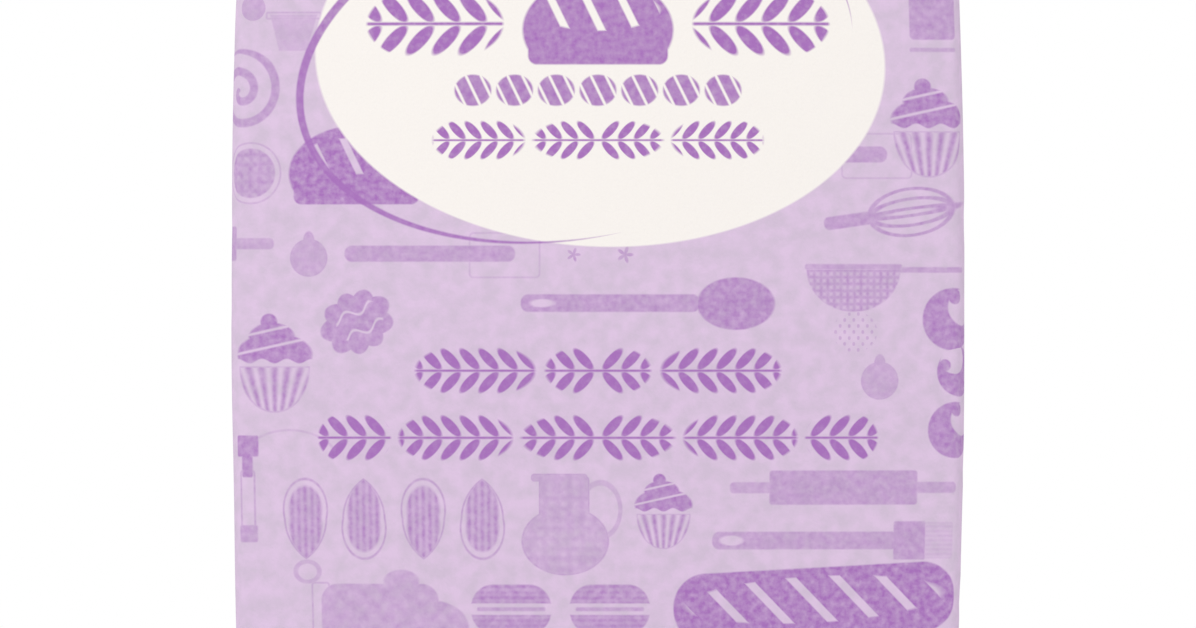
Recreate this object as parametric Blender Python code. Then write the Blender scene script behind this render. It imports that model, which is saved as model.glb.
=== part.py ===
"""A filled paper flour bag that stands on its folded base, closed at both ends by envelope folds.

Metres, +Z up. The front panel faces -Y. The origin is on the floor, under the middle of the bag.
"""

import math

import bmesh
import bpy

# The bag as the flour fills it.
HEIGHT = 0.230
MIDDLE_HALF_WIDTH = 0.0730
END_HALF_WIDTH = 0.0689
MIDDLE_HALF_DEPTH = 0.0480
END_HALF_DEPTH = 0.0445

# How far the panels' middles stand out past their creases at mid-height.
FRONT_CROWN = 0.0035
SIDE_CROWN = 0.0016

# Corners and creases.
CORNER_POWER = 34.0  # the superellipse that rounds the four upright creases
RIM_RADIUS = 0.0040
GUSSET_CREASE = 0.0012

# The lap of the glued seam that makes the paper a tube, up the back near its right-hand crease.
# Its ends are shares of the back's half width.
LAP_EDGE = 0.740
LAP_RAMP = 0.006
LAP_END = 0.880
LAP_STEP = 0.0005

# The folded ends: two flaps narrow at 45 degrees and lie over the tucked-in gussets.
PLY = 0.0006
FLAP_OVERLAP = 0.012
FLAP_EDGE_GAP = 0.0010
FLAP_SLACK = 0.0015  # how far the tucks' points show past where the flaps' edges cross

# Mesh fineness.
PANEL_COLUMNS = 16
GUSSET_COLUMNS = 16
LEVELS = 22
RIM_STEPS = 3

LILAC = (0.66, 0.52, 0.69, 1.0)
PAPER_ROUGHNESS = 0.75

PAST_THE_BAG = 0.010  # how far the cutters reach outside it


def clear_scene():
    for thing in list(bpy.data.objects):
        bpy.data.objects.remove(thing)


def paper_material():
    paper = bpy.data.materials.new("printed_paper")
    paper.use_nodes = True
    shader = paper.node_tree.nodes["Principled BSDF"]
    shader.inputs["Base Color"].default_value = LILAC
    shader.inputs["Roughness"].default_value = PAPER_ROUGHNESS
    shader.inputs["Metallic"].default_value = 0.0
    return paper


def fullness(height):
    """1 at mid-height, where the flour pushes the paper out most, and 0 at the ends."""
    return 1 - (2 * height / HEIGHT - 1) ** 2


def half_sizes(height):
    """Half the width and half the depth between the upright creases at a height."""
    full = fullness(height)
    half_width = END_HALF_WIDTH + (MIDDLE_HALF_WIDTH - END_HALF_WIDTH) * full
    half_depth = END_HALF_DEPTH + (MIDDLE_HALF_DEPTH - END_HALF_DEPTH) * full
    return half_width - SIDE_CROWN * full, half_depth - FRONT_CROWN * full


def crowded(start, end, columns):
    """Places from start up to end that crowd towards both, where the paper is creased."""
    shares = [(1 - math.cos(math.pi * i / columns)) / 2 for i in range(columns)]
    return [start + (end - start) * share for share in shares]


def square_outline():
    """Points round the square from -1 to 1, counter-clockwise from its front left corner."""
    across = crowded(-1.0, 1.0, PANEL_COLUMNS)
    along = crowded(-1.0, 0.0, GUSSET_COLUMNS // 2) + crowded(0.0, 1.0, GUSSET_COLUMNS // 2)
    front = [(x, -1.0) for x in across]
    right = [(1.0, y) for y in along]
    back_across = sorted([-x for x in across] + [LAP_EDGE, LAP_EDGE + LAP_RAMP], reverse=True)
    back = [(x, 1.0) for x in back_across]
    return front + right + back + [(-1.0, -y) for y in along]


def section_point(side_x, side_y, height, inset):
    """The point of the square outline, carried onto the bag's cross-section at a height."""
    half_width, half_depth = half_sizes(height)
    full = fullness(height)
    rounding = (abs(side_x) ** CORNER_POWER + abs(side_y) ** CORNER_POWER) ** (-1 / CORNER_POWER)
    x = side_x * ((half_width - inset) * rounding + SIDE_CROWN * full * (1 - side_y**2))
    y = side_y * ((half_depth - inset) * rounding + FRONT_CROWN * full * (1 - side_x**2))
    if abs(side_x) == 1.0 and abs(side_y) < 1e-6:
        x -= math.copysign(GUSSET_CREASE, x)
    if side_y == 1.0 and LAP_EDGE < side_x < LAP_END:
        y += LAP_STEP
    return x, y, height


def ring_levels():
    """(height, inset) of each ring from the floor up: a rounded rim, the panels, a rounded rim."""
    angles = [math.pi / 2 * i / RIM_STEPS for i in range(RIM_STEPS + 1)]
    rim = [(RIM_RADIUS * (1 - math.cos(a)), RIM_RADIUS * (1 - math.sin(a))) for a in angles]
    rise = (HEIGHT - 2 * RIM_RADIUS) / LEVELS
    panels = [(RIM_RADIUS + rise * i, 0.0) for i in range(1, LEVELS)]
    return rim + panels + [(HEIGHT - height, inset) for height, inset in reversed(rim)]


def tube_body():
    """The filled bag with both ends flat, before their folds are cut in."""
    mesh = bmesh.new()
    outline = square_outline()
    rings = []
    for height, inset in ring_levels():
        ring = [mesh.verts.new(section_point(x, y, height, inset)) for x, y in outline]
        rings.append(ring)
    for lower, upper in zip(rings, rings[1:]):
        for i in range(len(outline)):
            j = (i + 1) % len(outline)
            mesh.faces.new((lower[i], lower[j], upper[j], upper[i]))
    mesh.faces.new(reversed(rings[0]))
    mesh.faces.new(rings[-1])
    return mesh


def mesh_object(name, mesh):
    data = bpy.data.meshes.new(name)
    mesh.to_mesh(data)
    mesh.free()
    thing = bpy.data.objects.new(name, data)
    bpy.context.scene.collection.objects.link(thing)
    return thing


def cut(bag, name, outline, low, high):
    """Cuts a prism out of the bag: a counter-clockwise outline (x, y) between two heights."""
    mesh = bmesh.new()
    base = mesh.faces.new([mesh.verts.new((x, y, low)) for x, y in outline])
    raised = bmesh.ops.extrude_face_region(mesh, geom=[base])
    for item in raised["geom"]:
        if isinstance(item, bmesh.types.BMVert):
            item.co.z = high
    bmesh.ops.recalc_face_normals(mesh, faces=mesh.faces[:])
    cutter = mesh_object(name, mesh)
    cutter.hide_render = True
    cutter.display_type = "WIRE"
    change = bag.modifiers.new(name, "BOOLEAN")
    change.operation = "DIFFERENCE"
    change.object = cutter


def tuck_outline(side):
    """The triangle of tucked-in gusset at one end of the fold, reaching out past the rim."""
    outer = END_HALF_WIDTH + PAST_THE_BAG
    spread = END_HALF_DEPTH + PAST_THE_BAG + FLAP_SLACK
    points = [(outer - spread, 0.0), (outer, -spread), (outer, spread)]
    return [(side * x, side * y) for x, y in points]


def flap_edge():
    """The free edge of the outer flap: down one side, along its tip and back up the other."""
    tip = END_HALF_WIDTH - END_HALF_DEPTH
    narrow = tip - FLAP_OVERLAP
    return [(tip, 0.0), (narrow, -FLAP_OVERLAP), (-narrow, -FLAP_OVERLAP), (-tip, 0.0)]


def fold_top(bag):
    """The back flap is outermost, the front flap is one ply down and the tucks are two."""
    above = HEIGHT + PAST_THE_BAG
    for name, side in (("top_tuck_right", 1), ("top_tuck_left", -1)):
        cut(bag, name, tuck_outline(side), HEIGHT - 2 * PLY, above)
    outer = END_HALF_WIDTH + PAST_THE_BAG
    front = -END_HALF_DEPTH - PAST_THE_BAG
    outline = [(-outer, front), (outer, front), (outer, 0.0)] + flap_edge() + [(-outer, 0.0)]
    cut(bag, "top_front_flap", outline, HEIGHT - PLY, above)


def fold_base(bag):
    """The bag's weight presses both flaps flush, so a groove marks the outer one's edge."""
    below = -PAST_THE_BAG
    for name, side in (("base_tuck_right", 1), ("base_tuck_left", -1)):
        cut(bag, name, tuck_outline(side), below, PLY)
    edge = flap_edge()
    outline = [(x, y - FLAP_EDGE_GAP) for x, y in reversed(edge)] + edge
    cut(bag, "base_flap_edge", outline, below, PLY)


def build():
    clear_scene()
    bag = mesh_object("flour_bag", tube_body())
    bag.data.materials.append(paper_material())
    fold_top(bag)
    fold_base(bag)


build()
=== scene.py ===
import math
import random

import bpy
import numpy as np
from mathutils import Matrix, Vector


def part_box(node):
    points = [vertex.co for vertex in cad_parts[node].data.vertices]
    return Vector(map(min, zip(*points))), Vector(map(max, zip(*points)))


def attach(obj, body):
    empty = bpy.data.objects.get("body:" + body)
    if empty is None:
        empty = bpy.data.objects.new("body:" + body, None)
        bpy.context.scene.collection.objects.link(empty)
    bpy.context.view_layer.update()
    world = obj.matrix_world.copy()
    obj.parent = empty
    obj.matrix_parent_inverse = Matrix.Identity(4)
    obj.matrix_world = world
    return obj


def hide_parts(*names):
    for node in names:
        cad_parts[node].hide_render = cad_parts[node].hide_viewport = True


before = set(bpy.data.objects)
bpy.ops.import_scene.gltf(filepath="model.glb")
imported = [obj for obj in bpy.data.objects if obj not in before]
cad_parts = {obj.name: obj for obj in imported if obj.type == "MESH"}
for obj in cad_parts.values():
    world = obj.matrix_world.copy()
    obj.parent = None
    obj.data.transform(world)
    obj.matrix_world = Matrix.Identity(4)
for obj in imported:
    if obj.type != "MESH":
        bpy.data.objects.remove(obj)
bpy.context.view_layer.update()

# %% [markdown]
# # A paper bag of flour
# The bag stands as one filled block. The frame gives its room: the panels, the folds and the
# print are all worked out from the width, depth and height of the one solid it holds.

MM = 0.001
low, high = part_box("flour_bag")
HALF_WIDTH = (high.x - low.x) / 2
HALF_DEPTH = (high.y - low.y) / 2
HEIGHT = high.z - low.z
print(f"bag {2 * HALF_WIDTH:.3f} x {2 * HALF_DEPTH:.3f} x {HEIGHT:.3f} m")


# %% [markdown]
# ## The flat block
# A bag is folded from flat paper, so it starts as a sharp-edged block. The block is a cube
# primitive, cut into many small faces so that the paper can bulge and crease later. Its rows and
# columns are crowded towards the edges, where the paper turns quickly.

# %% Start from a cube
CUTS = 111
CROWDING = 0.7


def deselect_everything():
    for thing in bpy.context.selected_objects:
        thing.select_set(False)


def select_faces(mesh, wanted):
    """Selects in edit mode the faces whose numbers are in wanted, and nothing else."""
    bpy.ops.object.mode_set(mode="OBJECT")
    marks = np.zeros(len(mesh.polygons), bool)
    marks[wanted] = True
    mesh.vertices.foreach_set("select", np.zeros(len(mesh.vertices), bool))
    mesh.edges.foreach_set("select", np.zeros(len(mesh.edges), bool))
    mesh.polygons.foreach_set("select", marks)
    bpy.ops.object.mode_set(mode="EDIT")
    bpy.ops.mesh.select_mode(type="FACE")


def vertices_of(mesh):
    places = np.empty(len(mesh.vertices) * 3, np.float32)
    mesh.vertices.foreach_get("co", places)
    return places.reshape(-1, 3).astype(float)


def face_middles(mesh):
    middles = np.empty(len(mesh.polygons) * 3, np.float32)
    mesh.polygons.foreach_get("center", middles)
    return middles.reshape(-1, 3).astype(float)


def crowd(share):
    """Moves grid lines, given as shares from -1 to 1, towards both ends."""
    return (1 - CROWDING) * share + CROWDING * np.sin(math.pi / 2 * share)


deselect_everything()
bpy.ops.mesh.primitive_cube_add(size=2)
bag = bpy.context.object
bag.name = "paper_bag"
bpy.ops.object.mode_set(mode="EDIT")
bpy.ops.mesh.select_all(action="SELECT")
bpy.ops.mesh.subdivide(number_cuts=CUTS)
bpy.ops.object.mode_set(mode="OBJECT")
block = crowd(vertices_of(bag.data)) * (HALF_WIDTH, HALF_DEPTH, HEIGHT / 2)
block[:, 2] += HEIGHT / 2
bag.data.vertices.foreach_set("co", block.astype(np.float32).ravel())
bag.data.update()
print("block faces:", len(bag.data.polygons))


# %% [markdown]
# ## The envelope folds
# Each end is closed like a parcel. The gussets are tucked in first, then the front flap comes
# down, and the back flap is glued over it. Their edges run at 45 degrees from the corners. The
# ends are bisected along those edges, and again a paper's thickness outside them, so that each
# edge can drop as a clean step.

# %% Cut the fold lines
FOLD_EDGE = 0.3 * MM
FLAP_OVERLAP = 12 * MM
FOLD_REACH = HALF_WIDTH - HALF_DEPTH
LAP_EDGE = 54 * MM
LAP_FAR_EDGE = 64 * MM
NEAR = 0.01 * MM


def bisect(mesh, wanted, at, normal):
    select_faces(mesh, wanted)
    bpy.ops.mesh.bisect(plane_co=at, plane_no=normal)
    bpy.ops.object.mode_set(mode="OBJECT")


def end_faces(mesh):
    middles = face_middles(mesh)
    return np.flatnonzero((middles[:, 2] < NEAR) | (middles[:, 2] > HEIGHT - NEAR))


def back_faces(mesh):
    return np.flatnonzero(face_middles(mesh)[:, 1] > HALF_DEPTH - NEAR)


for outward_x in (-1, 1):
    for outward_y in (-1, 1):
        for step in (0, FOLD_EDGE):
            start = (outward_x * (FOLD_REACH + step), 0, 0)
            bisect(bag.data, end_faces(bag.data), start, (outward_x, outward_y, 0))
for step in (0, FOLD_EDGE):
    bisect(bag.data, end_faces(bag.data), (0, -FLAP_OVERLAP - step, 0), (0, 1, 0))
for across in (LAP_EDGE, LAP_EDGE + FOLD_EDGE):
    bisect(bag.data, back_faces(bag.data), (across, 0, 0), (1, 0, 0))
print("faces with the folds cut:", len(bag.data.polygons))


# %% [markdown]
# ## The print's own map
# The paper is printed flat, before it is folded. So the print is placed on the flat sheet: across
# it from the middle of the front panel, and up it from the base. Each face knows which panel or
# flap it belongs to, and its corners get their place on the sheet, in metres.

# %% Lay the sheet's coordinates on the block
def sheet_coordinates(mesh):
    """Writes the map named Sheet: (across, up) in metres for every face corner."""
    places = vertices_of(mesh)
    middles = face_middles(mesh)
    corners = np.empty(len(mesh.loops), np.int32)
    mesh.loops.foreach_get("vertex_index", corners)
    counts = np.empty(len(mesh.polygons), np.int32)
    mesh.polygons.foreach_get("loop_total", counts)
    owner = np.repeat(np.arange(len(mesh.polygons)), counts)
    x, y, z = places[corners].T
    middle_x, middle_y, middle_z = middles[owner].T
    on_end = (middle_z < NEAR) | (middle_z > HEIGHT - NEAR)
    tucked = np.abs(middle_x) - np.abs(middle_y) > FOLD_REACH
    past_middle = (middle_y < 0) & (middle_y > -FLAP_OVERLAP)
    under_outer = past_middle & (np.abs(middle_x) - middle_y < FOLD_REACH)
    behind = np.where(on_end, (middle_y > 0) | under_outer, middle_y > HALF_DEPTH - NEAR)
    beside = np.where(on_end, tucked, np.abs(middle_x) > HALF_WIDTH - NEAR)
    across = np.where(behind, 2 * (HALF_WIDTH + HALF_DEPTH) - x, x)
    across = np.where(beside, np.sign(middle_x) * (HALF_WIDTH + HALF_DEPTH + y), across)
    inward = np.where(behind, HALF_DEPTH - y, HALF_DEPTH + y)
    inward = np.where(beside, HALF_WIDTH - np.abs(x), inward)
    up = np.where(on_end, np.where(middle_z > HEIGHT / 2, HEIGHT + inward, -inward), z)
    layer = mesh.uv_layers.new(name="Sheet")
    layer.data.foreach_set("uv", np.column_stack((across, up)).astype(np.float32).ravel())
    return across, up


for old in list(bag.data.uv_layers):
    bag.data.uv_layers.remove(old)
across, up = sheet_coordinates(bag.data)
print(f"sheet runs {across.min():.3f} to {across.max():.3f} m across, {up.min():.3f} to {up.max():.3f} up")


# %% [markdown]
# ## Filling the bag
# Flour pushes the panels out and the folds hold the ends square. That shape could come from a
# cloth simulation, but a firm brick of flour gives such a regular one that formulas say it more
# plainly: rounded edges, a gentle barrel, crowned panels and a crease down each gusset.

# %% Round, bulge and crease the block
EDGE_RADIUS = 2.6 * MM
END_HALF_WIDTH = 68.9 * MM
END_HALF_DEPTH = 44.5 * MM
SIDE_CROWN = 0.7 * MM
FRONT_CROWN = 3.5 * MM
PLY = 0.8 * MM
LAP_STEP = 0.45 * MM
RIM_FADE = 6 * MM
CREASE_WIDTH = 7 * MM
CREASE_AT_MIDDLE = 0.5 * MM
CREASE_AT_ENDS = 1.9 * MM


def ramp(value, start, end):
    """0 before start, 1 past end, smooth between."""
    share = np.clip((value - start) / (end - start), 0, 1)
    return share * share * (3 - 2 * share)


def rounded(places):
    """Rounds all the block's edges to one radius."""
    core = places.copy()
    core[:, 0] = np.clip(core[:, 0], EDGE_RADIUS - HALF_WIDTH, HALF_WIDTH - EDGE_RADIUS)
    core[:, 1] = np.clip(core[:, 1], EDGE_RADIUS - HALF_DEPTH, HALF_DEPTH - EDGE_RADIUS)
    core[:, 2] = np.clip(core[:, 2], EDGE_RADIUS, HEIGHT - EDGE_RADIUS)
    out = places - core
    return core + out * (EDGE_RADIUS / np.linalg.norm(out, axis=1))[:, None]


def fold_drop(x, y):
    """How far the paper of the folded end lies below the outer flap."""
    tucked = ramp(np.abs(x) - np.abs(y), FOLD_REACH, FOLD_REACH + FOLD_EDGE)
    past_tip = ramp(-y, FLAP_OVERLAP, FLAP_OVERLAP + FOLD_EDGE)
    past_side = ramp(np.abs(x) - y, FOLD_REACH, FOLD_REACH + FOLD_EDGE) * (y < NEAR)
    front = np.maximum(past_tip, past_side)
    return PLY * np.maximum(2 * tucked, front)


def filled(places):
    x, y, z = places.T
    soft = rounded(places)
    full = 1 - (2 * z / HEIGHT - 1) ** 2
    wide = (END_HALF_WIDTH + (HALF_WIDTH - END_HALF_WIDTH - SIDE_CROWN) * full) / HALF_WIDTH
    deep = (END_HALF_DEPTH + (HALF_DEPTH - END_HALF_DEPTH - FRONT_CROWN) * full) / HALF_DEPTH
    share_x = x / HALF_WIDTH
    share_y = y / HALF_DEPTH
    soft[:, 0] = soft[:, 0] * wide + share_x * SIDE_CROWN * full * (1 - share_y**2)
    soft[:, 1] = soft[:, 1] * deep + share_y * FRONT_CROWN * full * (1 - share_x**2)
    valley = np.clip(1 - np.abs(y) / CREASE_WIDTH, 0, 1) ** 1.6
    depth = CREASE_AT_MIDDLE + (CREASE_AT_ENDS - CREASE_AT_MIDDLE) * (1 - full) ** 1.5
    beside = ramp(np.abs(x), HALF_WIDTH - 3 * EDGE_RADIUS, HALF_WIDTH)
    soft[:, 0] -= np.sign(x) * depth * valley * beside
    lap = ramp(x, LAP_EDGE, LAP_EDGE + FOLD_EDGE) * (1 - ramp(x, LAP_FAR_EDGE - 3 * MM, LAP_FAR_EDGE))
    soft[:, 1] += LAP_STEP * lap * (y > HALF_DEPTH - NEAR)
    inside = np.minimum(HALF_WIDTH - np.abs(x), HALF_DEPTH - np.abs(y))
    drop = fold_drop(x, y) * ramp(inside, 0, RIM_FADE)
    soft[:, 2] -= drop * (z > HEIGHT - NEAR)
    soft[:, 2] += drop * (z < NEAR)
    return soft


block = vertices_of(bag.data)
shape = filled(block)
print("filled bag:", shape.min(axis=0).round(4), shape.max(axis=0).round(4))

# %% [markdown]
# ## Creases from filling and handling
# Paper can't stretch, so it puckers where it turns: short creases run in from the rims and fan out
# of the corners. The flat bag's gussets leave pressed lines at 45 degrees on both sides. Each crease
# is a line on the sheet, and points near it sink a little. The front stays nearly smooth, as a
# full bag's does. Wide, shallow waves show how the flour has settled.

# %% Crease and dent the paper
GIRTH = 4 * (HALF_WIDTH + HALF_DEPTH)
draw = random.Random(11)


def sheet_place(places):
    """Where each point of the block lies on the sheet, in metres across and up."""
    x, y, z = places.T
    on_end = (z < NEAR) | (z > HEIGHT - NEAR)
    tucked = np.abs(x) - np.abs(y) > FOLD_REACH
    beside = np.where(on_end, tucked, np.abs(x) > HALF_WIDTH - NEAR)
    behind = np.where(on_end, y > 0, y > HALF_DEPTH - NEAR)
    across = np.where(behind, 2 * (HALF_WIDTH + HALF_DEPTH) - x, x)
    across = np.where(beside, np.sign(x) * (HALF_WIDTH + HALF_DEPTH + y), across)
    inward = np.where(beside, HALF_WIDTH - np.abs(x), HALF_DEPTH - np.abs(y))
    up = np.where(on_end, np.where(z > HEIGHT / 2, HEIGHT + inward, -inward), z)
    return across, up


def outward(places):
    """The direction in which the rounded block faces at each point."""
    core = places.copy()
    room = np.array((HALF_WIDTH, HALF_DEPTH, HEIGHT / 2)) - EDGE_RADIUS
    middle = (0, 0, HEIGHT / 2)
    core = np.clip(core - middle, -room, room) + middle
    out = places - core
    return out / np.linalg.norm(out, axis=1)[:, None]


def crease(across, up, start, angle, length, depth, width):
    """How far the paper sinks at each point, by one crease that fades along its length."""
    along = np.array((math.cos(angle), math.sin(angle)))
    off_x = (across - start[0] + GIRTH / 2) % GIRTH - GIRTH / 2
    off_y = up - start[1]
    reached = np.clip((off_x * along[0] + off_y * along[1]) / length, 0, 1)
    away = np.hypot(off_x - reached * length * along[0], off_y - reached * length * along[1])
    fading = (1 - reached) ** 0.7
    valley = np.exp(-((away / width) ** 2))
    shoulder = np.exp(-(((away - 2.2 * width) / width) ** 2))
    return depth * fading * (valley - 0.35 * shoulder)


CREASES_AT_CORNER = 4
CREASES_AT_EDGE = 5
WAVES = 9
DEEPEST = 1.6 * MM
WAVE_HEIGHT = 1.5 * MM
across, up = sheet_place(block)
sunk = np.zeros(len(block))
corner_places = [-HALF_WIDTH, HALF_WIDTH, HALF_WIDTH + 2 * HALF_DEPTH, -HALF_WIDTH - 2 * HALF_DEPTH]
for rim, inward_turn in ((0, 1), (HEIGHT, -1)):
    place = 0.0
    while place < GIRTH:
        turn = inward_turn * math.radians(90 + draw.uniform(-28, 28))
        length = draw.uniform(7, 20) * MM
        depth = draw.uniform(0.2, 0.65) * MM
        width = draw.uniform(0.9, 1.8) * MM
        sunk += crease(across, up, (place, rim), turn, length, depth, width)
        depth = draw.uniform(0.1, 0.35) * MM
        sunk += crease(across, up, (place, rim), -turn, 0.6 * length, depth, 1.1 * MM)
        place += draw.uniform(9, 30) * MM
    for corner in corner_places:
        for _ in range(CREASES_AT_CORNER):
            turn = inward_turn * math.radians(draw.uniform(15, 165))
            length = draw.uniform(14, 38) * MM
            depth = draw.uniform(0.3, 0.75) * MM
            width = draw.uniform(1.2, 2.4) * MM
            sunk += crease(across, up, (corner, rim), turn, length, depth, width)
    for panel in (-1, 1):
        for half in (-1, 1):
            start = (panel * (HALF_WIDTH + HALF_DEPTH + half * HALF_DEPTH), rim)
            turn = inward_turn * math.radians(90 + inward_turn * panel * half * 45)
            sunk += crease(across, up, start, turn, 1.3 * HALF_DEPTH, 0.4 * MM, 1.5 * MM)
for corner in corner_places:
    backwards = 1 if corner > 0 else -1
    for _ in range(CREASES_AT_EDGE):
        start = (corner, draw.uniform(0.1, 0.9) * HEIGHT)
        turn = math.radians(draw.uniform(-50, 50) + (0 if backwards > 0 else 180))
        length = draw.uniform(8, 26) * MM
        depth = draw.uniform(0.15, 0.45) * MM
        sunk += crease(across, up, start, turn, length, depth, 1.9 * MM)

smooth_front = ramp(block[:, 1], -HALF_DEPTH, -HALF_DEPTH + 12 * MM)
smooth_front = np.maximum(smooth_front, ramp(np.abs(block[:, 2] / HEIGHT - 0.49), 0.29, 0.42))
waves = np.zeros(len(block))
for _ in range(WAVES):
    direction = np.array([draw.gauss(0, 1) for _ in range(3)])
    direction *= 2 * math.pi / (draw.uniform(28, 75) * MM) / np.linalg.norm(direction)
    waves += np.sin(block @ direction + draw.uniform(0, 2 * math.pi)) / WAVES
for corner_x in (-1, 1):
    for corner_y in (-1, 1):
        for rim in (0, HEIGHT):
            corner = (corner_x * HALF_WIDTH, corner_y * HALF_DEPTH, rim)
            away = np.linalg.norm(block - corner, axis=1)
            sunk += draw.uniform(0.4, 1.3) * MM * np.exp(-((away / (9 * MM)) ** 2))
sunk = DEEPEST * np.tanh(sunk / DEEPEST)
creased = sunk * smooth_front
sunk *= 0.25 + 0.75 * smooth_front
sunk += (waves + 0.4) * WAVE_HEIGHT * (0.1 + 0.9 * smooth_front)
standing = ramp(block[:, 2], 0, 4 * MM)
shape -= outward(block) * (sunk * (0.25 + 0.75 * standing))[:, None]
shape[:, 2] = np.maximum(shape[:, 2], 0)

# Ink rubs off first along the rims, at the corners and on the creases.
to_sides = np.column_stack((HALF_WIDTH - np.abs(block[:, 0]), HALF_DEPTH - np.abs(block[:, 1])))
to_rim = np.minimum(block[:, 2], HEIGHT - block[:, 2])
to_edge = np.minimum(np.hypot(to_rim, to_sides.min(axis=1)), np.hypot(*to_sides.T) + 0.35 * to_rim)
worn = np.exp(-((to_edge / (2.0 * MM)) ** 2)) + 0.55 * np.clip(creased / (0.9 * MM), 0, 1)
bag.data.attributes.new("Worn", "FLOAT", "POINT").data.foreach_set("value", worn.astype(np.float32))

bag.data.vertices.foreach_set("co", shape.astype(np.float32).ravel())
bag.data.update()
deselect_everything()
bag.select_set(True)
bpy.context.view_layer.objects.active = bag
bpy.ops.object.shade_smooth_by_angle(angle=math.radians(35))
print("creased bag:", shape.min(axis=0).round(4), shape.max(axis=0).round(4))
triangles = sum(len(face.vertices) - 2 for face in bag.data.polygons)
print(f"deepest crease {sunk.max() / MM:.2f} mm, triangles {triangles}")

# %% [markdown]
# ## Ink shapes
# The print is tonal: pictures of kitchen things in a deeper lilac. Each picture is drawn as
# distances. A disc, a bar or an ellipse is a formula that says how far a point lies outside it, in
# millimetres. The smaller of two distances joins two shapes, and the larger one carves. Where the
# distance is below zero there is ink. No image is needed, and edges stay crisp at any size.

# %% Helpers that add one node each
SOFT_EDGE = 0.35  # millimetres over which an ink edge fades


def new_group(name, inputs, outputs):
    """An empty shader group. inputs and outputs are pairs of a socket's name and its type."""
    group = bpy.data.node_groups.new(name, "ShaderNodeTree")
    for label, kind in inputs:
        group.interface.new_socket(label, in_out="INPUT", socket_type="NodeSocket" + kind)
    for label, kind in outputs:
        group.interface.new_socket(label, in_out="OUTPUT", socket_type="NodeSocket" + kind)
    return group, group.nodes.new("NodeGroupInput")


def feed(tree, socket, value):
    """Links value to the socket if it is another socket, or sets it as a number."""
    if isinstance(value, bpy.types.NodeSocket):
        tree.links.new(value, socket)
    else:
        socket.default_value = value


def maths(tree, operation, first, second=0.0, third=0.0, clamp=False):
    node = tree.nodes.new("ShaderNodeMath")
    node.operation = operation
    node.use_clamp = clamp
    for socket, value in zip(node.inputs, (first, second, third)):
        feed(tree, socket, value)
    return node.outputs[0]


def vectors(tree, operation, first, second=(0.0, 0.0, 0.0), third=(0.0, 0.0, 0.0)):
    node = tree.nodes.new("ShaderNodeVectorMath")
    node.operation = operation
    for socket, value in zip(node.inputs, (first, second, third)):
        feed(tree, socket, value)
    return node.outputs["Value"] if operation in ("LENGTH", "DISTANCE", "DOT_PRODUCT") else node.outputs[0]


def disc(tree, at, middle, radius):
    return maths(tree, "SUBTRACT", vectors(tree, "DISTANCE", at, (*middle, 0)), radius)


def ellipse(tree, at, middle, half):
    """Near enough the distance to an ellipse: exact at the ends of its shorter axis."""
    scale = (1 / half[0], 1 / half[1], 0)
    shift = (-middle[0] / half[0], -middle[1] / half[1], 0)
    stretched = vectors(tree, "LENGTH", vectors(tree, "MULTIPLY_ADD", at, scale, shift))
    return maths(tree, "MULTIPLY_ADD", stretched, min(half), -min(half))


def bar(tree, at, middle, half, radius):
    """A rectangle whose corners are rounded outwards by radius."""
    apart = at
    if middle != (0, 0):
        apart = vectors(tree, "SUBTRACT", at, (*middle, 0))
    apart = vectors(tree, "ABSOLUTE", apart)
    apart = vectors(tree, "SUBTRACT", apart, (*half, 0))
    apart = vectors(tree, "MAXIMUM", apart, (0, 0, 0))
    return maths(tree, "SUBTRACT", vectors(tree, "LENGTH", apart), radius)


def join(tree, *distances):
    joined = distances[0]
    for distance in distances[1:]:
        joined = maths(tree, "MINIMUM", joined, distance)
    return joined


def overlap(tree, *distances):
    kept = distances[0]
    for distance in distances[1:]:
        kept = maths(tree, "MAXIMUM", kept, distance)
    return kept


def inked(tree, distance, tone=1.0, soft=SOFT_EDGE):
    """Ink inside the shape: tone where the distance is below zero, fading over the soft edge."""
    mask = maths(tree, "MULTIPLY_ADD", distance, -1 / soft, 0.5, clamp=True)
    return mask if tone == 1.0 else maths(tree, "MULTIPLY", mask, tone)


def line(tree, distance, tone, half_width=0.18):
    """Ink only along the shape's outline."""
    off_line = maths(tree, "SUBTRACT", maths(tree, "ABSOLUTE", distance), half_width)
    return inked(tree, off_line, tone, 0.25)


def over(tree, *inks):
    darkest = inks[0]
    for ink in inks[1:]:
        darkest = maths(tree, "MAXIMUM", darkest, ink)
    return darkest


def stripes(tree, value, per_mm, low_tone, high_tone):
    """A tone that goes up and down along value."""
    wave = maths(tree, "COSINE", maths(tree, "MULTIPLY", value, per_mm * 2 * math.pi))
    return maths(tree, "MULTIPLY_ADD", wave, (high_tone - low_tone) / 2, (high_tone + low_tone) / 2)


def split(tree, at):
    """How far across and how far up a point is."""
    return vectors(tree, "DOT_PRODUCT", at, (1, 0, 0)), vectors(tree, "DOT_PRODUCT", at, (0, 1, 0))


def picture(name, draw):
    """A group that turns a place on the sheet, in millimetres from the picture's middle, to ink."""
    group, start = new_group(name, [("At", "Vector")], [("Ink", "Float")])
    ink = draw(group, start.outputs["At"])
    finish = group.nodes.new("NodeGroupOutput")
    group.links.new(ink, finish.inputs["Ink"])
    return group


# %% [markdown]
# ## Kitchen tools
# Each picture is a few joined shapes, with a hole, a gap or a row of stripes carved out of it.
# They are drawn plainly, like stamps cut from a potato.

# %% Wooden spoon, rolling pin, pastry brush
def draw_spoon(tree, at):
    handle = bar(tree, at, (-7.5, 0), (16.4, 0.2), 1.55)
    hole = ellipse(tree, at, (-21.2, 0), (2.4, 0.8))
    handle = overlap(tree, handle, maths(tree, "MULTIPLY", hole, -1))
    bowl = ellipse(tree, at, (17.6, -0.1), (7.8, 5.2))
    return over(tree, inked(tree, handle, 0.50), inked(tree, bowl, 0.64))


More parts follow.
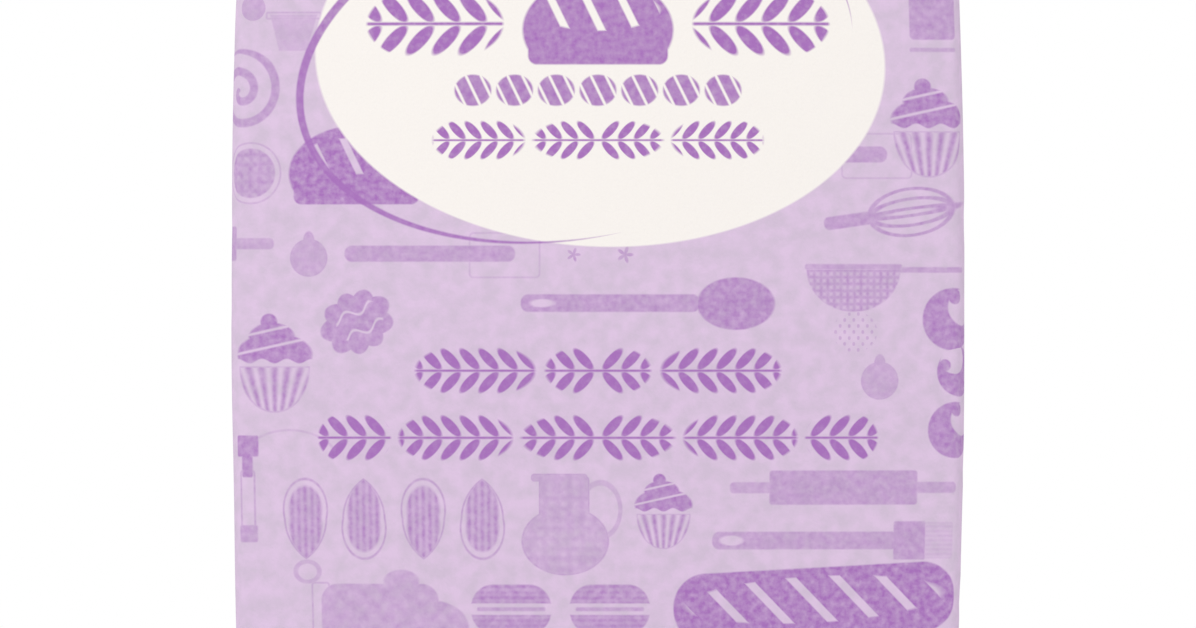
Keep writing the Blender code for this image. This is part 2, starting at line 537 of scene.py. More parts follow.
def draw_rolling_pin(tree, at):
    roller = bar(tree, at, (0, 0), (14.3, 2.8), 0.6)
    handles = bar(tree, at, (0, 0), (22.0, 0.25), 0.85)
    return over(tree, inked(tree, roller, 0.46), inked(tree, handles, 0.38))


def draw_brush(tree, at):
    _, up = split(tree, at)
    handle = bar(tree, at, (-5.2, 0), (17.6, 0.3), 1.45)
    hole = ellipse(tree, at, (-20.4, 0), (2.4, 1.0))
    handle = overlap(tree, handle, maths(tree, "MULTIPLY", hole, -1))
    ferrule = bar(tree, at, (15.6, 0), (2.8, 3.4), 0.4)
    bristles = bar(tree, at, (21.0, 0), (3.0, 3.2), 0.4)
    hairs = maths(tree, "MULTIPLY", inked(tree, bristles), stripes(tree, up, 1.1, 0.11, 0.21))
    return over(tree, inked(tree, handle, 0.44), inked(tree, ferrule, 0.50), hairs)


# %% Palette knife, whisk and sieve
def draw_palette_knife(tree, at):
    blade = bar(tree, at, (0, 0), (15.6, 0.1), 1.5)
    packet = bar(tree, at, (15.0, -0.3), (6.2, 3.6), 0.8)
    return over(tree, inked(tree, blade, 0.46), line(tree, packet, 0.22))


def draw_whisk(tree, at):
    handle = bar(tree, at, (-8.6, 0), (4.4, 0.2), 1.1)
    wires = [line(tree, ellipse(tree, at, (3.6, 0), (8.4, half)), 0.50, 0.3) for half in (4.6, 2.6, 0.7)]
    return over(tree, inked(tree, handle, 0.5), *wires)


def draw_sieve(tree, at):
    across, up = split(tree, at)
    round_bowl = ellipse(tree, at, (-5.5, 2.9), (9.4, 8.4))
    bowl = overlap(tree, round_bowl, maths(tree, "SUBTRACT", up, 2.9))
    wires = [stripes(tree, way, 0.75, 0.16, 0.5) for way in (across, up)]
    mesh = maths(tree, "MAXIMUM", *wires)
    rim = bar(tree, at, (-5.5, 3.4), (9.3, 0.1), 0.45)
    handle = bar(tree, at, (9.5, 2.8), (7.6, 0.05), 0.5)
    grains = maths(tree, "MULTIPLY", stripes(tree, across, 0.55, -1, 1), stripes(tree, up, 0.42, -1, 1))
    cloud = ellipse(tree, at, (-5.2, -9.5), (4.4, 4.0))
    falling = overlap(tree, cloud, maths(tree, "SUBTRACT", 0.55, grains))
    return over(
        tree,
        maths(tree, "MULTIPLY", inked(tree, bowl), mesh),
        inked(tree, join(tree, rim, handle), 0.42),
        inked(tree, falling, 0.34),
    )


# %% Jug, jar and oven glove
def draw_jug(tree, at):
    across, up = split(tree, at)
    belly = ellipse(tree, at, (-2.2, -3.4), (8.6, 6.6))
    neck = bar(tree, at, (-2.4, 4.0), (4.0, 4.6), 0.9)
    spout = bar(tree, at, (-3.4, 9.2), (5.0, 0.1), 0.5)
    grip = line(tree, ellipse(tree, at, (4.9, 2.8), (4.0, 5.4)), 0.28, 0.42)
    glass = join(tree, belly, neck, spout)
    level = bar(tree, at, (-2.2, -3.6), (6.0, 1.8), 0.8)
    marks = maths(tree, "MULTIPLY", stripes(tree, across, 0.4, 0, 1), stripes(tree, up, 0.5, 0, 1))
    marks = maths(tree, "MULTIPLY_ADD", marks, -0.12, 0.37)
    level = maths(tree, "MULTIPLY", inked(tree, level), -0.06)
    body = maths(tree, "MULTIPLY", inked(tree, glass), maths(tree, "ADD", marks, level))
    return over(tree, body, line(tree, glass, 0.42), grip)


def draw_jar(tree, at):
    body = bar(tree, at, (0, 2.2), (3.7, 6.6), 1.0)
    foot = bar(tree, at, (0, -7.4), (4.4, 0.05), 0.35)
    lid = bar(tree, at, (0, 11.4), (4.2, 0.5), 0.5)
    return over(tree, inked(tree, body, 0.50), inked(tree, join(tree, foot, lid), 0.36))


def draw_glove(tree, at):
    across, up = split(tree, at)
    hand = bar(tree, at, (1.0, -2.2), (8.5, 3.2), 3.4)
    fingers = ellipse(tree, at, (11.0, -4.4), (8.0, 5.6))
    thumb = ellipse(tree, at, (5.4, 4.9), (3.6, 2.3))
    cuff = bar(tree, at, (-11.0, -2.2), (1.2, 6.3), 0.5)
    loop = line(tree, ellipse(tree, at, (-13.6, 6.8), (2.4, 2.0)), 0.30, 0.4)
    quilting = maths(tree, "MULTIPLY", stripes(tree, across, 0.22, -1, 1), stripes(tree, up, 0.22, -1, 1))
    quilting = maths(tree, "MULTIPLY_ADD", quilting, 0.07, 0.36)
    body = maths(tree, "MULTIPLY", inked(tree, join(tree, hand, fingers, thumb)), quilting)
    return over(tree, body, line(tree, cuff, 0.3), loop)


# %% Cup cake, biscuit and macaroon
def draw_cup_cake(tree, at):
    across, up = split(tree, at)
    knob = disc(tree, at, (-1.1, 8.0), 1.7)
    tier = ellipse(tree, at, (-0.5, 5.0), (4.6, 2.9))
    skirt = ellipse(tree, at, (0, 1.6), (7.6, 4.2))
    scallop = maths(tree, "ADD", up, stripes(tree, across, 0.2, -0.45, 0.45))
    swirl = overlap(tree, join(tree, knob, tier, skirt), maths(tree, "SUBTRACT", 0.3, scallop))
    slope = maths(tree, "MULTIPLY_ADD", across, -0.22, up)
    for gap_at in (3.3, 6.6):
        gap = maths(tree, "ABSOLUTE", maths(tree, "SUBTRACT", slope, gap_at))
        swirl = overlap(tree, swirl, maths(tree, "SUBTRACT", 0.26, gap))
    case = overlap(tree, ellipse(tree, at, (0, -1.2), (7.0, 8.6)), maths(tree, "ADD", up, 0.9))
    fan = maths(tree, "DIVIDE", across, maths(tree, "ADD", up, 20.0))
    pleats = maths(tree, "MULTIPLY", inked(tree, case), stripes(tree, fan, 7.2, 0.0, 0.62))
    return over(tree, inked(tree, swirl, 0.72), pleats, line(tree, case, 0.3, 0.14))


def draw_biscuit(tree, at):
    across, up = split(tree, at)
    edge = disc(tree, at, (0, 0), 6.0)
    face = inked(tree, maths(tree, "ADD", edge, 1.1))
    rows = [stripes(tree, way, 0.55, 0.3, 0.5) for way in (across, up)]
    pricks = maths(tree, "MAXIMUM", *rows)
    return over(tree, line(tree, edge, 0.28), maths(tree, "MULTIPLY", face, pricks))


def draw_macaroon(tree, at):
    _, up = split(tree, at)
    shell = bar(tree, at, (0, 0), (3.6, 0.4), 4.5)
    height = maths(tree, "ABSOLUTE", up)
    halves = overlap(tree, shell, maths(tree, "SUBTRACT", 1.15, height))
    foot = overlap(tree, bar(tree, at, (0, 0), (7.6, 1.5), 0.3), maths(tree, "SUBTRACT", 1.5, height))
    filling = bar(tree, at, (0, 0), (6.6, 0.05), 0.34)
    sugar = stripes(tree, up, 0.9, 0.5, 0.64)
    shells = maths(tree, "MULTIPLY", inked(tree, halves), sugar)
    return over(tree, shells, inked(tree, foot, 0.5), inked(tree, filling, 0.42))


# %% Almond, walnut, crescent roll and star
def draw_almond(tree, at):
    across, up = split(tree, at)
    pointed = overlap(tree, disc(tree, at, (5.6, -0.2), 9.8), disc(tree, at, (-5.6, -0.2), 9.8))
    pointed = overlap(tree, pointed, maths(tree, "SUBTRACT", -4.5, up))
    blunt = ellipse(tree, at, (0, -1.8), (4.4, 6.1))
    shape = join(tree, pointed, blunt)
    inset = maths(tree, "MULTIPLY_ADD", up, -0.16, 0.9, clamp=True)
    grain = stripes(tree, across, 0.75, 0.34, 0.6)
    inside = maths(tree, "MULTIPLY", inked(tree, maths(tree, "ADD", shape, inset), 1.0, 0.5), grain)
    return over(tree, inside, line(tree, shape, 0.42))


def draw_walnut(tree, at):
    across, up = split(tree, at)
    turn = maths(tree, "ARCTAN2", up, across)
    lobes = maths(tree, "ABSOLUTE", maths(tree, "SINE", maths(tree, "MULTIPLY_ADD", turn, 4.5, 0.6)))
    shell = maths(tree, "MULTIPLY_ADD", lobes, -1.0, ellipse(tree, at, (0, 0), (6.4, 5.2)))
    wave = maths(tree, "SINE", maths(tree, "MULTIPLY", across, 1.15))
    bend = maths(tree, "PINGPONG", maths(tree, "MULTIPLY_ADD", wave, 0.8, maths(tree, "ADD", up, 6.0)), 2.0)
    crack = overlap(tree, maths(tree, "SUBTRACT", bend, 0.26), ellipse(tree, at, (0.6, 0), (4.8, 4.2)))
    return inked(tree, overlap(tree, shell, maths(tree, "MULTIPLY", crack, -1)), 0.56)


def draw_crescent(tree, at):
    outer = disc(tree, at, (0, 0), 6.2)
    inner = disc(tree, at, (2.6, 2.4), 3.7)
    horn = overlap(tree, outer, maths(tree, "MULTIPLY", inner, -1))
    return inked(tree, join(tree, horn, disc(tree, at, (0.4, 4.5), 1.5)), 0.68)


def draw_drop(tree, at):
    body = join(tree, disc(tree, at, (0, 0), 3.4), ellipse(tree, at, (0, 3.2), (0.9, 1.5)))
    return over(tree, inked(tree, body, 0.36), line(tree, body, 0.40))


def draw_cup(tree, at):
    across, up = split(tree, at)
    half_width = maths(tree, "MULTIPLY_ADD", up, 0.28, 3.8)
    wall = maths(tree, "SUBTRACT", maths(tree, "ABSOLUTE", across), half_width)
    cup = overlap(tree, wall, maths(tree, "SUBTRACT", maths(tree, "ABSOLUTE", up), 3.6))
    return over(tree, inked(tree, cup, 0.24), line(tree, bar(tree, at, (0, 3.4), (5.2, 0.3), 0.3), 0.3))


def draw_bowl(tree, at):
    _, up = split(tree, at)
    dome = line(tree, ellipse(tree, at, (0, -6.0), (10.8, 8.4)), 0.2, 0.22)
    return maths(tree, "MULTIPLY", dome, maths(tree, "GREATER_THAN", up, -1.4))


def draw_spatula(tree, at):
    head = bar(tree, at, (0, 8.4), (1.9, 1.7), 0.4)
    neck = bar(tree, at, (0, 4.4), (0.7, 1.8), 0.4)
    stem = line(tree, bar(tree, at, (0, -2.4), (0.9, 5.4), 0.5), 0.34, 0.2)
    end = bar(tree, at, (0, -9.0), (1.4, 1.2), 0.5)
    return over(tree, inked(tree, join(tree, head, neck), 0.66), stem, inked(tree, end, 0.42))


def draw_star(tree, at):
    across, up = split(tree, at)
    turn = maths(tree, "ARCTAN2", up, across)
    rays = maths(tree, "COSINE", maths(tree, "MULTIPLY", turn, 5.0))
    return inked(tree, maths(tree, "MULTIPLY_ADD", rays, -0.5, disc(tree, at, (0, 0), 0.9)), 0.45)


def draw_bun_swirl(tree, at):
    across, up = split(tree, at)
    turn = maths(tree, "ARCTAN2", up, across)
    wound = maths(tree, "MULTIPLY_ADD", turn, -4.4 / (2 * math.pi), vectors(tree, "LENGTH", at))
    apart = maths(tree, "PINGPONG", maths(tree, "ADD", wound, 1.5), 2.2)
    stroke = maths(tree, "SUBTRACT", apart, 0.85)
    return inked(tree, overlap(tree, stroke, disc(tree, at, (0.3, 0.2), 8.3)), 0.5)


# %% Loaves and the ear of wheat
def draw_loaf(tree, at):
    across, up = split(tree, at)
    crust = ellipse(tree, at, (0, -1.2), (13.6, 9.4))
    crust = overlap(tree, crust, maths(tree, "SUBTRACT", -6.6, up))
    base = bar(tree, at, (0, -5.2), (11.0, 0.6), 1.6)
    slant = maths(tree, "PINGPONG", maths(tree, "MULTIPLY_ADD", up, 0.5, across), 3.2)
    slash = overlap(tree, maths(tree, "SUBTRACT", slant, 0.75), ellipse(tree, at, (0, 2.2), (11.0, 3.6)))
    bread = join(tree, crust, base)
    return inked(tree, overlap(tree, bread, maths(tree, "MULTIPLY", slash, -1)), 0.80)


def draw_long_loaf(tree, at):
    across, up = split(tree, at)
    crust = bar(tree, at, (0, 0), (22.0, 0.3), 6.6)
    slant = maths(tree, "PINGPONG", maths(tree, "MULTIPLY_ADD", up, 0.9, across), 4.4)
    slash = overlap(tree, maths(tree, "SUBTRACT", slant, 1.1), ellipse(tree, at, (0, 0.6), (26.0, 4.6)))
    return inked(tree, overlap(tree, crust, maths(tree, "MULTIPLY", slash, -1)), 0.80)


def draw_grains(tree, at):
    """A row of slanting grains to both sides of a stalk, without end: its user cuts its length."""
    across, up = split(tree, at)
    mirrored = maths(tree, "ABSOLUTE", up)
    sheared = maths(tree, "MULTIPLY_ADD", mirrored, -0.75, maths(tree, "SUBTRACT", across, 1.2))
    near = maths(tree, "WRAP", sheared, 1.9, -1.9)
    joined = tree.nodes.new("ShaderNodeCombineXYZ")
    tree.links.new(near, joined.inputs[0])
    tree.links.new(mirrored, joined.inputs[1])
    grain = ellipse(tree, joined.outputs[0], (0, 2.3), (1.25, 2.1))
    grain = overlap(tree, grain, maths(tree, "SUBTRACT", -1.9, sheared))
    stalk = maths(tree, "SUBTRACT", mirrored, 0.22)
    return inked(tree, join(tree, grain, stalk), 1.0, 0.3)


PICTURES = {
    name: picture(name.replace("_", " ").title(), draw)
    for name, draw in {
        "spoon": draw_spoon,
        "rolling_pin": draw_rolling_pin,
        "brush": draw_brush,
        "palette_knife": draw_palette_knife,
        "whisk": draw_whisk,
        "sieve": draw_sieve,
        "jug": draw_jug,
        "jar": draw_jar,
        "glove": draw_glove,
        "cup_cake": draw_cup_cake,
        "biscuit": draw_biscuit,
        "macaroon": draw_macaroon,
        "almond": draw_almond,
        "walnut": draw_walnut,
        "crescent": draw_crescent,
        "drop": draw_drop,
        "cup": draw_cup,
        "bowl": draw_bowl,
        "spatula": draw_spatula,
        "star": draw_star,
        "bun_swirl": draw_bun_swirl,
        "loaf": draw_loaf,
        "long_loaf": draw_long_loaf,
        "grains": draw_grains,
    }.items()
}
print("pictures:", len(PICTURES), "with", sum(len(g.nodes) for g in PICTURES.values()), "nodes")


# %% [markdown]
# ## Where each picture goes
# A place is across and up the artwork in millimetres, from the middle of the front at the base,
# with a turn in degrees and a size. One picture serves all its places: at any point the nearest
# place is chosen, and the picture is drawn from there. The artwork covers the front and the right
# side, then starts again on the back. What crosses the crease left of the front is listed twice.

# %% Places on the front and on the side
ARTWORK_SCALE = 0.990
ARTWORK_REPEAT = 2 * (HALF_WIDTH + HALF_DEPTH) / MM / ARTWORK_SCALE
ARTWORK_LEFT = -HALF_WIDTH / MM / ARTWORK_SCALE
BEHIND = ARTWORK_REPEAT
PLACES = {
    "spoon": [(10.0, 115.0, 0, 1), (-38, 13, 4, 1), (-36, 221, 180, 1), (112, 142, 185, 1)],
    "rolling_pin": [(49.4, 78.4, 0, 1), (-87.9, 126.8, 0, 1), (BEHIND - 87.9, 126.8, 0, 1), (48, 15, 0, 1),
                    (38, 221, 0, 1), (106, 192, 3, 1)],
    "brush": [(47.3, 67.9, 0, 1), (112, 98, 180, 1), (118, 222, 0, 1)],
    "palette_knife": [(-33.7, 124.8, 0, 1), (41.0, 144.5, 0, 1), (-48, 205, 0, 1), (112, 31, 0, 1)],
    "whisk": [(59.3, 132.6, 8, 1), (-31, 35, 30, 1), (112, 168, -12, 1)],
    "sieve": [(56.7, 118.8, 0, 1), (44, 38, 0, 1), (148, 141, 0, 1)],
    "jug": [(-4.4, 71.2, 0, 1), (4, 214, 0, 1), (132, 118, 0, 1)],
    "jar": [(67.8, 172.7, 0, 1), (14, 35, 0, 1), (88, 167, 0, 1), (132, 50, 0, 1)],
    "glove": [(-45.2, 54.9, 0, 1), (146, 20, 0, 1), (96, 214, 0, 1)],
    "cup_cake": [(-64.9, 103.2, 0, 1), (66.6, 149.9, 0, 1), (13.2, 73.8, 0, 0.76), (-60, 34, 0, 1),
                 (-60, 192, 0, 1), (158, 192, 0, 1), (154, 94, 0, 0.9)],
    "biscuit": [(-69.8, 140.8, 0, 1), (BEHIND - 69.8, 140.8, 0, 1), (-12, 18, 0, 1), (138, 192, 0, 1),
                (160, 68, 0, 0.8)],
    "macaroon": [(-17.6, 54.3, 0, 1), (2.4, 54.3, 0, 1), (64, 208, 0, 1), (110, 52, 0, 1)],
    "almond": [(-59.0, 72.2, 180, 1), (-47.2, 72.2, 0, 1), (-35.2, 72.2, 180, 1), (-23.3, 72.2, 0, 1),
               (2, 16, 20, 1), (12, 14, 200, 1), (88, 118, 0, 1), (99.5, 118, 180, 1), (111, 118, 0, 1)],
    "walnut": [(-48.3, 111.2, 25, 1), (-9, 38, 0, 1), (60, 190, 60, 1), (88, 50, 0, 1), (152, 215, 30, 1)],
    "crescent": [(71.3, 111.8, 0, 1), (73.0, 101.4, 75, 0.8), (71.9, 89.8, 0, 0.9), (66, 38, 20, 1),
                 (136, 168, 10, 1), (88, 16, 200, 1)],
    "drop": [(-58.0, 124.0, 0, 1.05), (56.5, 99.6, 0, 1.05), (-70, 173.6, 0, 0.7),
             (8, 208, 0, 1), (150, 52, 0, 1), (90, 70, 0, 1), (24, 24, 0, 0.9)],
    "cup": [(-61.7, 168.7, 0, 1), (28, 206, 0, 1), (158, 116, 0, 1)],
    "bowl": [(-62.0, 87.4, 0, 1), (120, 14, 180, 1)],
    "spatula": [(-70.6, 78.2, 0, 1), (-71, 24, 0, 1), (70, 226, 90, 0.9)],
    "star": [(-4.9, 124.6, 0, 1), (5.4, 124.6, 0, 1.2), (30, 8, 0, 1.4), (150, 158, 0, 1.4),
             (92, 86, 0, 1.4)],
    "bun_swirl": [(-72.4, 157.0, 0, 1), (BEHIND - 72.4, 157.0, 0, 1), (-70, 8, 0, 0.8), (132, 75, 0, 1)],
    "loaf": [(-48.5, 142.0, 0, 1), (155, 168, 0, 0.9)],
    "long_loaf": [(43.9, 55.6, 3, 1), (105, 74, 0, 0.8)],
}


def placed(tree, at, quarter_turned, place):
    """The point at, measured from a place in the picture's own directions and size.

    quarter_turned is the same point turned by 90 degrees: some of each makes any turn.
    """
    across, up, turn, size = place
    straight = math.cos(math.radians(turn)) / size
    turned = math.sin(math.radians(turn)) / size
    shift = (-straight * across - turned * up, turned * across - straight * up, 0)
    here = vectors(tree, "MULTIPLY_ADD", at, (straight, straight, 0), shift)
    if abs(turned) > 1e-6:
        here = vectors(tree, "MULTIPLY_ADD", quarter_turned, (turned, turned, 0), here)
    return here


def chosen_point(tree, share, first, second):
    node = tree.nodes.new("ShaderNodeMix")
    node.data_type = "VECTOR"
    tree.links.new(share, node.inputs[0])
    tree.links.new(first, node.inputs[4])
    tree.links.new(second, node.inputs[5])
    return node.outputs[1]


def nearest_place(tree, at, quarter_turned, places):
    """The point at, measured from whichever of the places is nearest."""
    chosen = placed(tree, at, quarter_turned, places[0])
    away = vectors(tree, "LENGTH", chosen) if len(places) > 1 else None
    for place in places[1:]:
        here = placed(tree, at, quarter_turned, place)
        distance = vectors(tree, "LENGTH", here)
        chosen = chosen_point(tree, maths(tree, "LESS_THAN", distance, away), chosen, here)
        if place != places[-1]:
            away = maths(tree, "MINIMUM", away, distance)
    return chosen


def printed(tree, name, at):
    """The ink of one picture, drawn around the point at."""
    node = tree.nodes.new("ShaderNodeGroup")
    node.node_tree = PICTURES[name]
    tree.links.new(at, node.inputs["At"])
    return node.outputs["Ink"]


# %% [markdown]
# ## The paper and its colours
# Bag paper takes ink unevenly, so the print is mottled: clouds a few millimetres wide, and a fine
# grain of fibres. The colours are given as on screen and turned to the linear values of the
# shader.

# %% Colours
def paint(red, green, blue):
    """A screen colour, from 0 to 255, as the shader's linear colour."""
    linear = [((c / 255 + 0.055) / 1.055) ** 2.4 for c in (red, green, blue)]
    return (*linear, 1.0)


LILAC_WARM = paint(226, 201, 230)
LILAC_COOL = paint(214, 195, 218)
INK = paint(170, 114, 190)
CREAM = paint(252, 247, 242)
BARE_PAPER = paint(240, 234, 238)


def mixed(tree, share, first, second):
    node = tree.nodes.new("ShaderNodeMix")
    node.data_type = "RGBA"
    feed(tree, node.inputs[0], share)
    feed(tree, node.inputs[6], first)
    feed(tree, node.inputs[7], second)
    return node.outputs[2]


def noise(tree, at, per_mm, detail):
    node = tree.nodes.new("ShaderNodeTexNoise")
    node.inputs["Scale"].default_value = per_mm
    node.inputs["Detail"].default_value = detail
    tree.links.new(at, node.inputs["Vector"])
    return node.outputs[0]


def sheet_point(tree, across, up):
    node = tree.nodes.new("ShaderNodeCombineXYZ")
    feed(tree, node.inputs[0], across)
    feed(tree, node.inputs[1], up)
    return node.outputs[0]


# %% Start the paper's material
paper = bpy.data.materials.new("printed_paper")
paper.use_nodes = True
tree = paper.node_tree
shader = tree.nodes["Principled BSDF"]
sheet = tree.nodes.new("ShaderNodeUVMap")
sheet.uv_map = "Sheet"
ARTWORK_LIFT = -1.1
per_metre = 1 / MM / ARTWORK_SCALE
artwork = vectors(tree, "MULTIPLY_ADD", sheet.outputs[0], (per_metre, per_metre, 0), (0, ARTWORK_LIFT, 0))
art_x, art_y = split(tree, artwork)
wrapped_x = maths(tree, "WRAP", art_x, ARTWORK_LEFT + ARTWORK_REPEAT, ARTWORK_LEFT)
wrapped_y = maths(tree, "WRAP", art_y, HEIGHT / MM / ARTWORK_SCALE + ARTWORK_LIFT, ARTWORK_LIFT)
pattern_at = sheet_point(tree, wrapped_x, wrapped_y)
pattern_turned = vectors(tree, "CROSS_PRODUCT", pattern_at, (0, 0, 1))

# %% Scatter the pictures
ink = None
for name, places in PLACES.items():
    one = printed(tree, name, nearest_place(tree, pattern_at, pattern_turned, places))
    ink = one if ink is None else maths(tree, "MAXIMUM", ink, one)

# %% [markdown]
# ## Ears of wheat, and the oval
# The front's two middle rows are garlands of wheat, in the deepest ink. The oval has a loaf
# between two ears, a row of rolls and one more garland. All the garlands are one endless row of
# grains, cut to ears by long ellipses, and mirrored about the middle of the panel.

# %% Garlands
GARLANDS = {  # height above the base: size, then each ear's middle and half length
    88.3: (1, ((0, 15.4), (28.6, 11.4), (48.9, 7.3))),
    101.6: (1, ((0, 10.6), (24.6, 12.0))),
    147.3: (0.85, ((0, 13.0), (24.0, 9.2))),
    170.4: (1.4, ((33.0, 13.8),)),
}
panel_x = maths(tree, "WRAP", art_x, ARTWORK_REPEAT / 2, -ARTWORK_REPEAT / 2)
panel_at = sheet_point(tree, panel_x, art_y)
mirrored_at = sheet_point(tree, maths(tree, "ABSOLUTE", panel_x), art_y)
grains_at = None
for height, (size, ears) in GARLANDS.items():
    row_at = placed(tree, mirrored_at, None, (0, height, 0, size))
    if grains_at is None:
        grains_at = row_at
    else:
        above = maths(tree, "GREATER_THAN", art_y, height - 6 * size)
        grains_at = chosen_point(tree, above, grains_at, row_at)
grains = printed(tree, "grains", grains_at)
ears_outline = None
for height, (size, ears) in GARLANDS.items():
    for middle, half in ears:
        one = ellipse(tree, mirrored_at, (middle, height), (half, 5.4 * size))
        ears_outline = one if ears_outline is None else maths(tree, "MINIMUM", ears_outline, one)
wheat = maths(tree, "MULTIPLY", grains, inked(tree, ears_outline))

# %% The oval's own pictures
emblem_loaf = printed(tree, "loaf", placed(tree, panel_at, None, (0.0, 170.6, 0, 1.12)))
HALF_PITCH = 4.2
ROLLS_END = 29.4
rolls_x = maths(tree, "WRAP", panel_x, HALF_PITCH, -HALF_PITCH)
rolls_at = sheet_point(tree, rolls_x, maths(tree, "SUBTRACT", art_y, 157.2))
roll = ellipse(tree, rolls_at, (0, 0), (3.7, 3.1))
rolls_slant = maths(tree, "PINGPONG", vectors(tree, "DOT_PRODUCT", rolls_at, (1, 0.5, 0)), 1.5)
roll = overlap(tree, roll, maths(tree, "SUBTRACT", 0.3, rolls_slant))
roll = overlap(tree, roll, maths(tree, "SUBTRACT", maths(tree, "ABSOLUTE", panel_x), ROLLS_END))
emblem = over(tree, maths(tree, "MULTIPLY", emblem_loaf, 1.15), inked(tree, roll, 0.9))

# %% Mix the inks
clouds = noise(tree, artwork, 0.30, 3)
mottle = noise(tree, artwork, 0.75, 3)
cloudy = maths(tree, "MULTIPLY_ADD", clouds, 3.2, -1.1, clamp=True)
lilac = mixed(tree, cloudy, LILAC_COOL, LILAC_WARM)
uneven = maths(tree, "MULTIPLY_ADD", mottle, 1.5, 0.25)
colour = mixed(tree, maths(tree, "MULTIPLY", ink, uneven, clamp=True), lilac, INK)

# %% The oval and the brush stroke round it
OVAL_PLACE = (0.4, 163.7, -2.6, 1)
OVAL_HALF = (57.6, 37.5)
SWOOSH_PLACE = (-4.3, 162.2, 10.35, 1)
SWOOSH_SHARE = (1 / 56.4, 1 / 34.3, 0)
SWOOSH_HEADING = (0.696, -0.718, 0)
SWOOSH_REACH = 0.757
SWOOSH_WEIGHT = 0.76
panel_turned = vectors(tree, "CROSS_PRODUCT", panel_at, (0, 0, 1))
oval_at = placed(tree, panel_at, panel_turned, OVAL_PLACE)
colour = mixed(tree, inked(tree, ellipse(tree, oval_at, (0, 0), OVAL_HALF)), colour, CREAM)

# The stroke follows one ellipse. It is widest opposite its heading, and thins to nothing where the
# heading's share passes the reach.
swoosh_at = placed(tree, panel_at, panel_turned, SWOOSH_PLACE)
on_unit = vectors(tree, "MULTIPLY", swoosh_at, SWOOSH_SHARE)
radius = vectors(tree, "LENGTH", on_unit)
steepness = vectors(tree, "LENGTH", vectors(tree, "MULTIPLY", on_unit, SWOOSH_SHARE))
off_unit = maths(tree, "MULTIPLY", maths(tree, "SUBTRACT", radius, 1), radius)
off_stroke = maths(tree, "DIVIDE", off_unit, steepness)
heading = maths(tree, "DIVIDE", vectors(tree, "DOT_PRODUCT", on_unit, SWOOSH_HEADING), radius)
short_of_reach = maths(tree, "SUBTRACT", SWOOSH_REACH, heading)
thickness = maths(tree, "MULTIPLY", maths(tree, "SQRT", short_of_reach), SWOOSH_WEIGHT)
stroke = maths(tree, "SUBTRACT", maths(tree, "ABSOLUTE", off_stroke), thickness)
swoosh = maths(tree, "MULTIPLY", stroke, -1 / SOFT_EDGE, clamp=True)
dark = over(tree, wheat, emblem, maths(tree, "MULTIPLY", swoosh, 0.9))
dark = maths(tree, "MULTIPLY", dark, maths(tree, "MULTIPLY_ADD", mottle, 0.5, 0.73), clamp=True)
colour = mixed(tree, dark, colour, INK)

# %% Rubbed ink and the lap's cut edge
worn = tree.nodes.new("ShaderNodeAttribute")
worn.attribute_name = "Worn"
patchy = maths(tree, "MULTIPLY_ADD", mottle, 3.0, -1.0, clamp=True)
rubbed = maths(tree, "MULTIPLY", maths(tree, "MULTIPLY", worn.outputs["Fac"], patchy), 0.42, clamp=True)
lap_edge = (2 * (HALF_WIDTH + HALF_DEPTH) - LAP_EDGE) / MM / ARTWORK_SCALE
off_lap = maths(tree, "ABSOLUTE", maths(tree, "SUBTRACT", art_x, lap_edge))
cut_edge = inked(tree, maths(tree, "SUBTRACT", off_lap, 0.3), 0.55)
colour = mixed(tree, maths(tree, "MAXIMUM", rubbed, cut_edge), colour, BARE_PAPER)
tree.links.new(colour, shader.inputs["Base Color"])

# %% [markdown]
# ## The feel of the paper
# Kraft paper is matt. Its fibres stand up a little, and handling has pressed it into flat facets
# a thumb wide, which show only when light grazes them.

# %% Roughness and relief
rough = maths(tree, "MULTIPLY_ADD", mottle, 0.16, 0.64)
tree.links.new(rough, shader.inputs["Roughness"])
shader.inputs["Specular IOR Level"].default_value = 0.3
fibres = noise(tree, artwork, 1.7, 2)
facets = tree.nodes.new("ShaderNodeTexVoronoi")
facets.feature = "DISTANCE_TO_EDGE"
facets.inputs["Scale"].default_value = 0.055
tree.links.new(artwork, facets.inputs["Vector"])
relief = maths(tree, "MULTIPLY_ADD", facets.outputs[0], 4.0, fibres)
bump = tree.nodes.new("ShaderNodeBump")
bump.inputs["Strength"].default_value = 0.6
bump.inputs["Distance"].default_value = 0.1 * MM
tree.links.new(relief, bump.inputs["Height"])
tree.links.new(bump.outputs[0], shader.inputs["Normal"])
bag.data.materials.clear()
bag.data.materials.append(paper)
print("pictures:", len(PLACES), "kinds at", sum(len(places) for places in PLACES.values()), "places")
print("paper nodes:", len(tree.nodes))


# %% Put the bag in the frame
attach(bag, "root")
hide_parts("flour_bag")


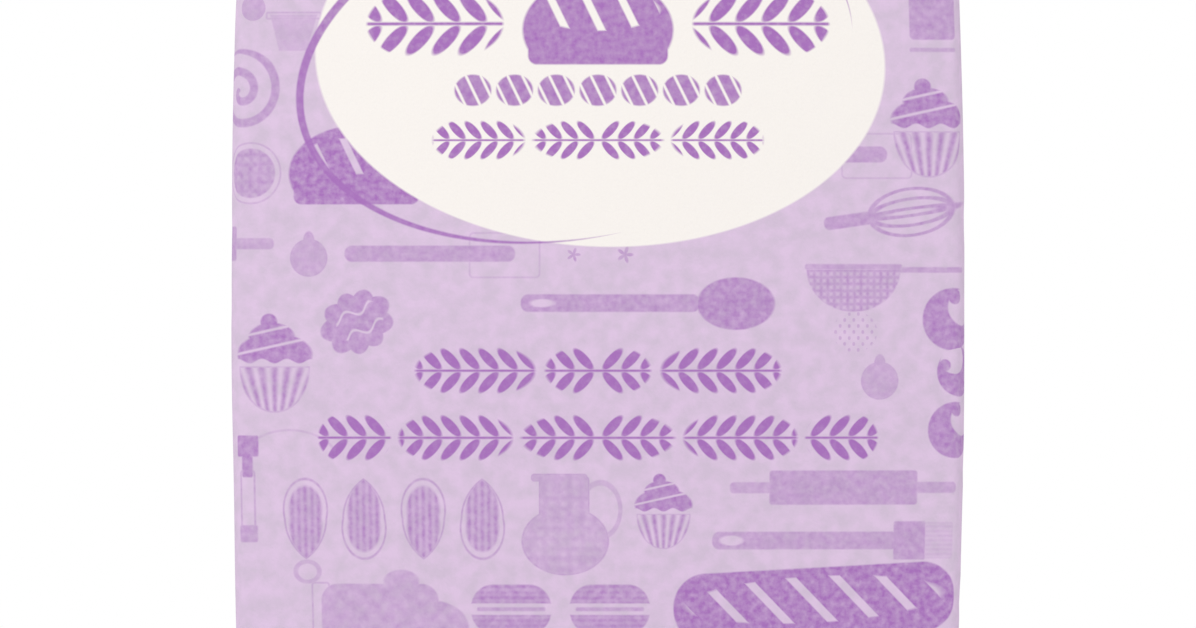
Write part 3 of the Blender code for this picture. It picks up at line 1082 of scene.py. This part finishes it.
# %% [markdown]
# ## Floor, light and camera
# A pack like this is shown head on against white, in light so soft that it has hardly any
# shadow. The sky gives most of it, and two big lamps shape the edges a little.

# %% Stage
bpy.ops.mesh.primitive_plane_add(size=1.4, location=(0, 0, 0))
floor = bpy.context.object
floor.name = "floor"
floor_paint = bpy.data.materials.new("pale_floor")
floor_paint.use_nodes = True
floor_shader = floor_paint.node_tree.nodes["Principled BSDF"]
floor_shader.inputs["Base Color"].default_value = (0.9, 0.9, 0.9, 1)
floor_shader.inputs["Roughness"].default_value = 0.9
floor.data.materials.append(floor_paint)

SKY_LIGHT = 0.72
world = bpy.data.worlds.new("studio")
bpy.context.scene.world = world
world.use_nodes = True
sky = world.node_tree
sky_shader = sky.nodes["Background"]
sky_shader.inputs["Color"].default_value = (1, 1, 1, 1)
ray = sky.nodes.new("ShaderNodeLightPath")
brightness = maths(sky, "MULTIPLY_ADD", ray.outputs["Is Camera Ray"], 1 - SKY_LIGHT, SKY_LIGHT)
sky.links.new(brightness, sky_shader.inputs["Strength"])


def soft_lamp(name, at, aim, size, power):
    lamp = bpy.data.lights.new(name, "AREA")
    lamp.size = size
    lamp.energy = power
    holder = bpy.data.objects.new(name, lamp)
    bpy.context.scene.collection.objects.link(holder)
    holder.location = at
    holder.rotation_euler = (Vector(aim) - Vector(at)).to_track_quat("-Z", "Y").to_euler()


soft_lamp("key", (-0.9, -1.1, 1.0), (0, 0, 0.11), 0.8, 7.0)
soft_lamp("fill", (1.2, -1.0, 0.5), (0, 0, 0.11), 0.8, 2.2)

FRAME_WIDTH = 234.6 * MM
CAMERA_DISTANCE = 1.25
CAMERA_HEIGHT = 112.8 * MM
lens = bpy.data.cameras.new("camera")
camera = bpy.data.objects.new("camera", lens)
bpy.context.scene.collection.objects.link(camera)
camera.location = (0, -HALF_DEPTH - CAMERA_DISTANCE, CAMERA_HEIGHT)
camera.rotation_euler = (math.pi / 2, 0, 0)
lens.sensor_width = 36
lens.lens = lens.sensor_width * CAMERA_DISTANCE / FRAME_WIDTH
bpy.context.scene.camera = camera
bpy.context.scene.view_settings.view_transform = "Standard"
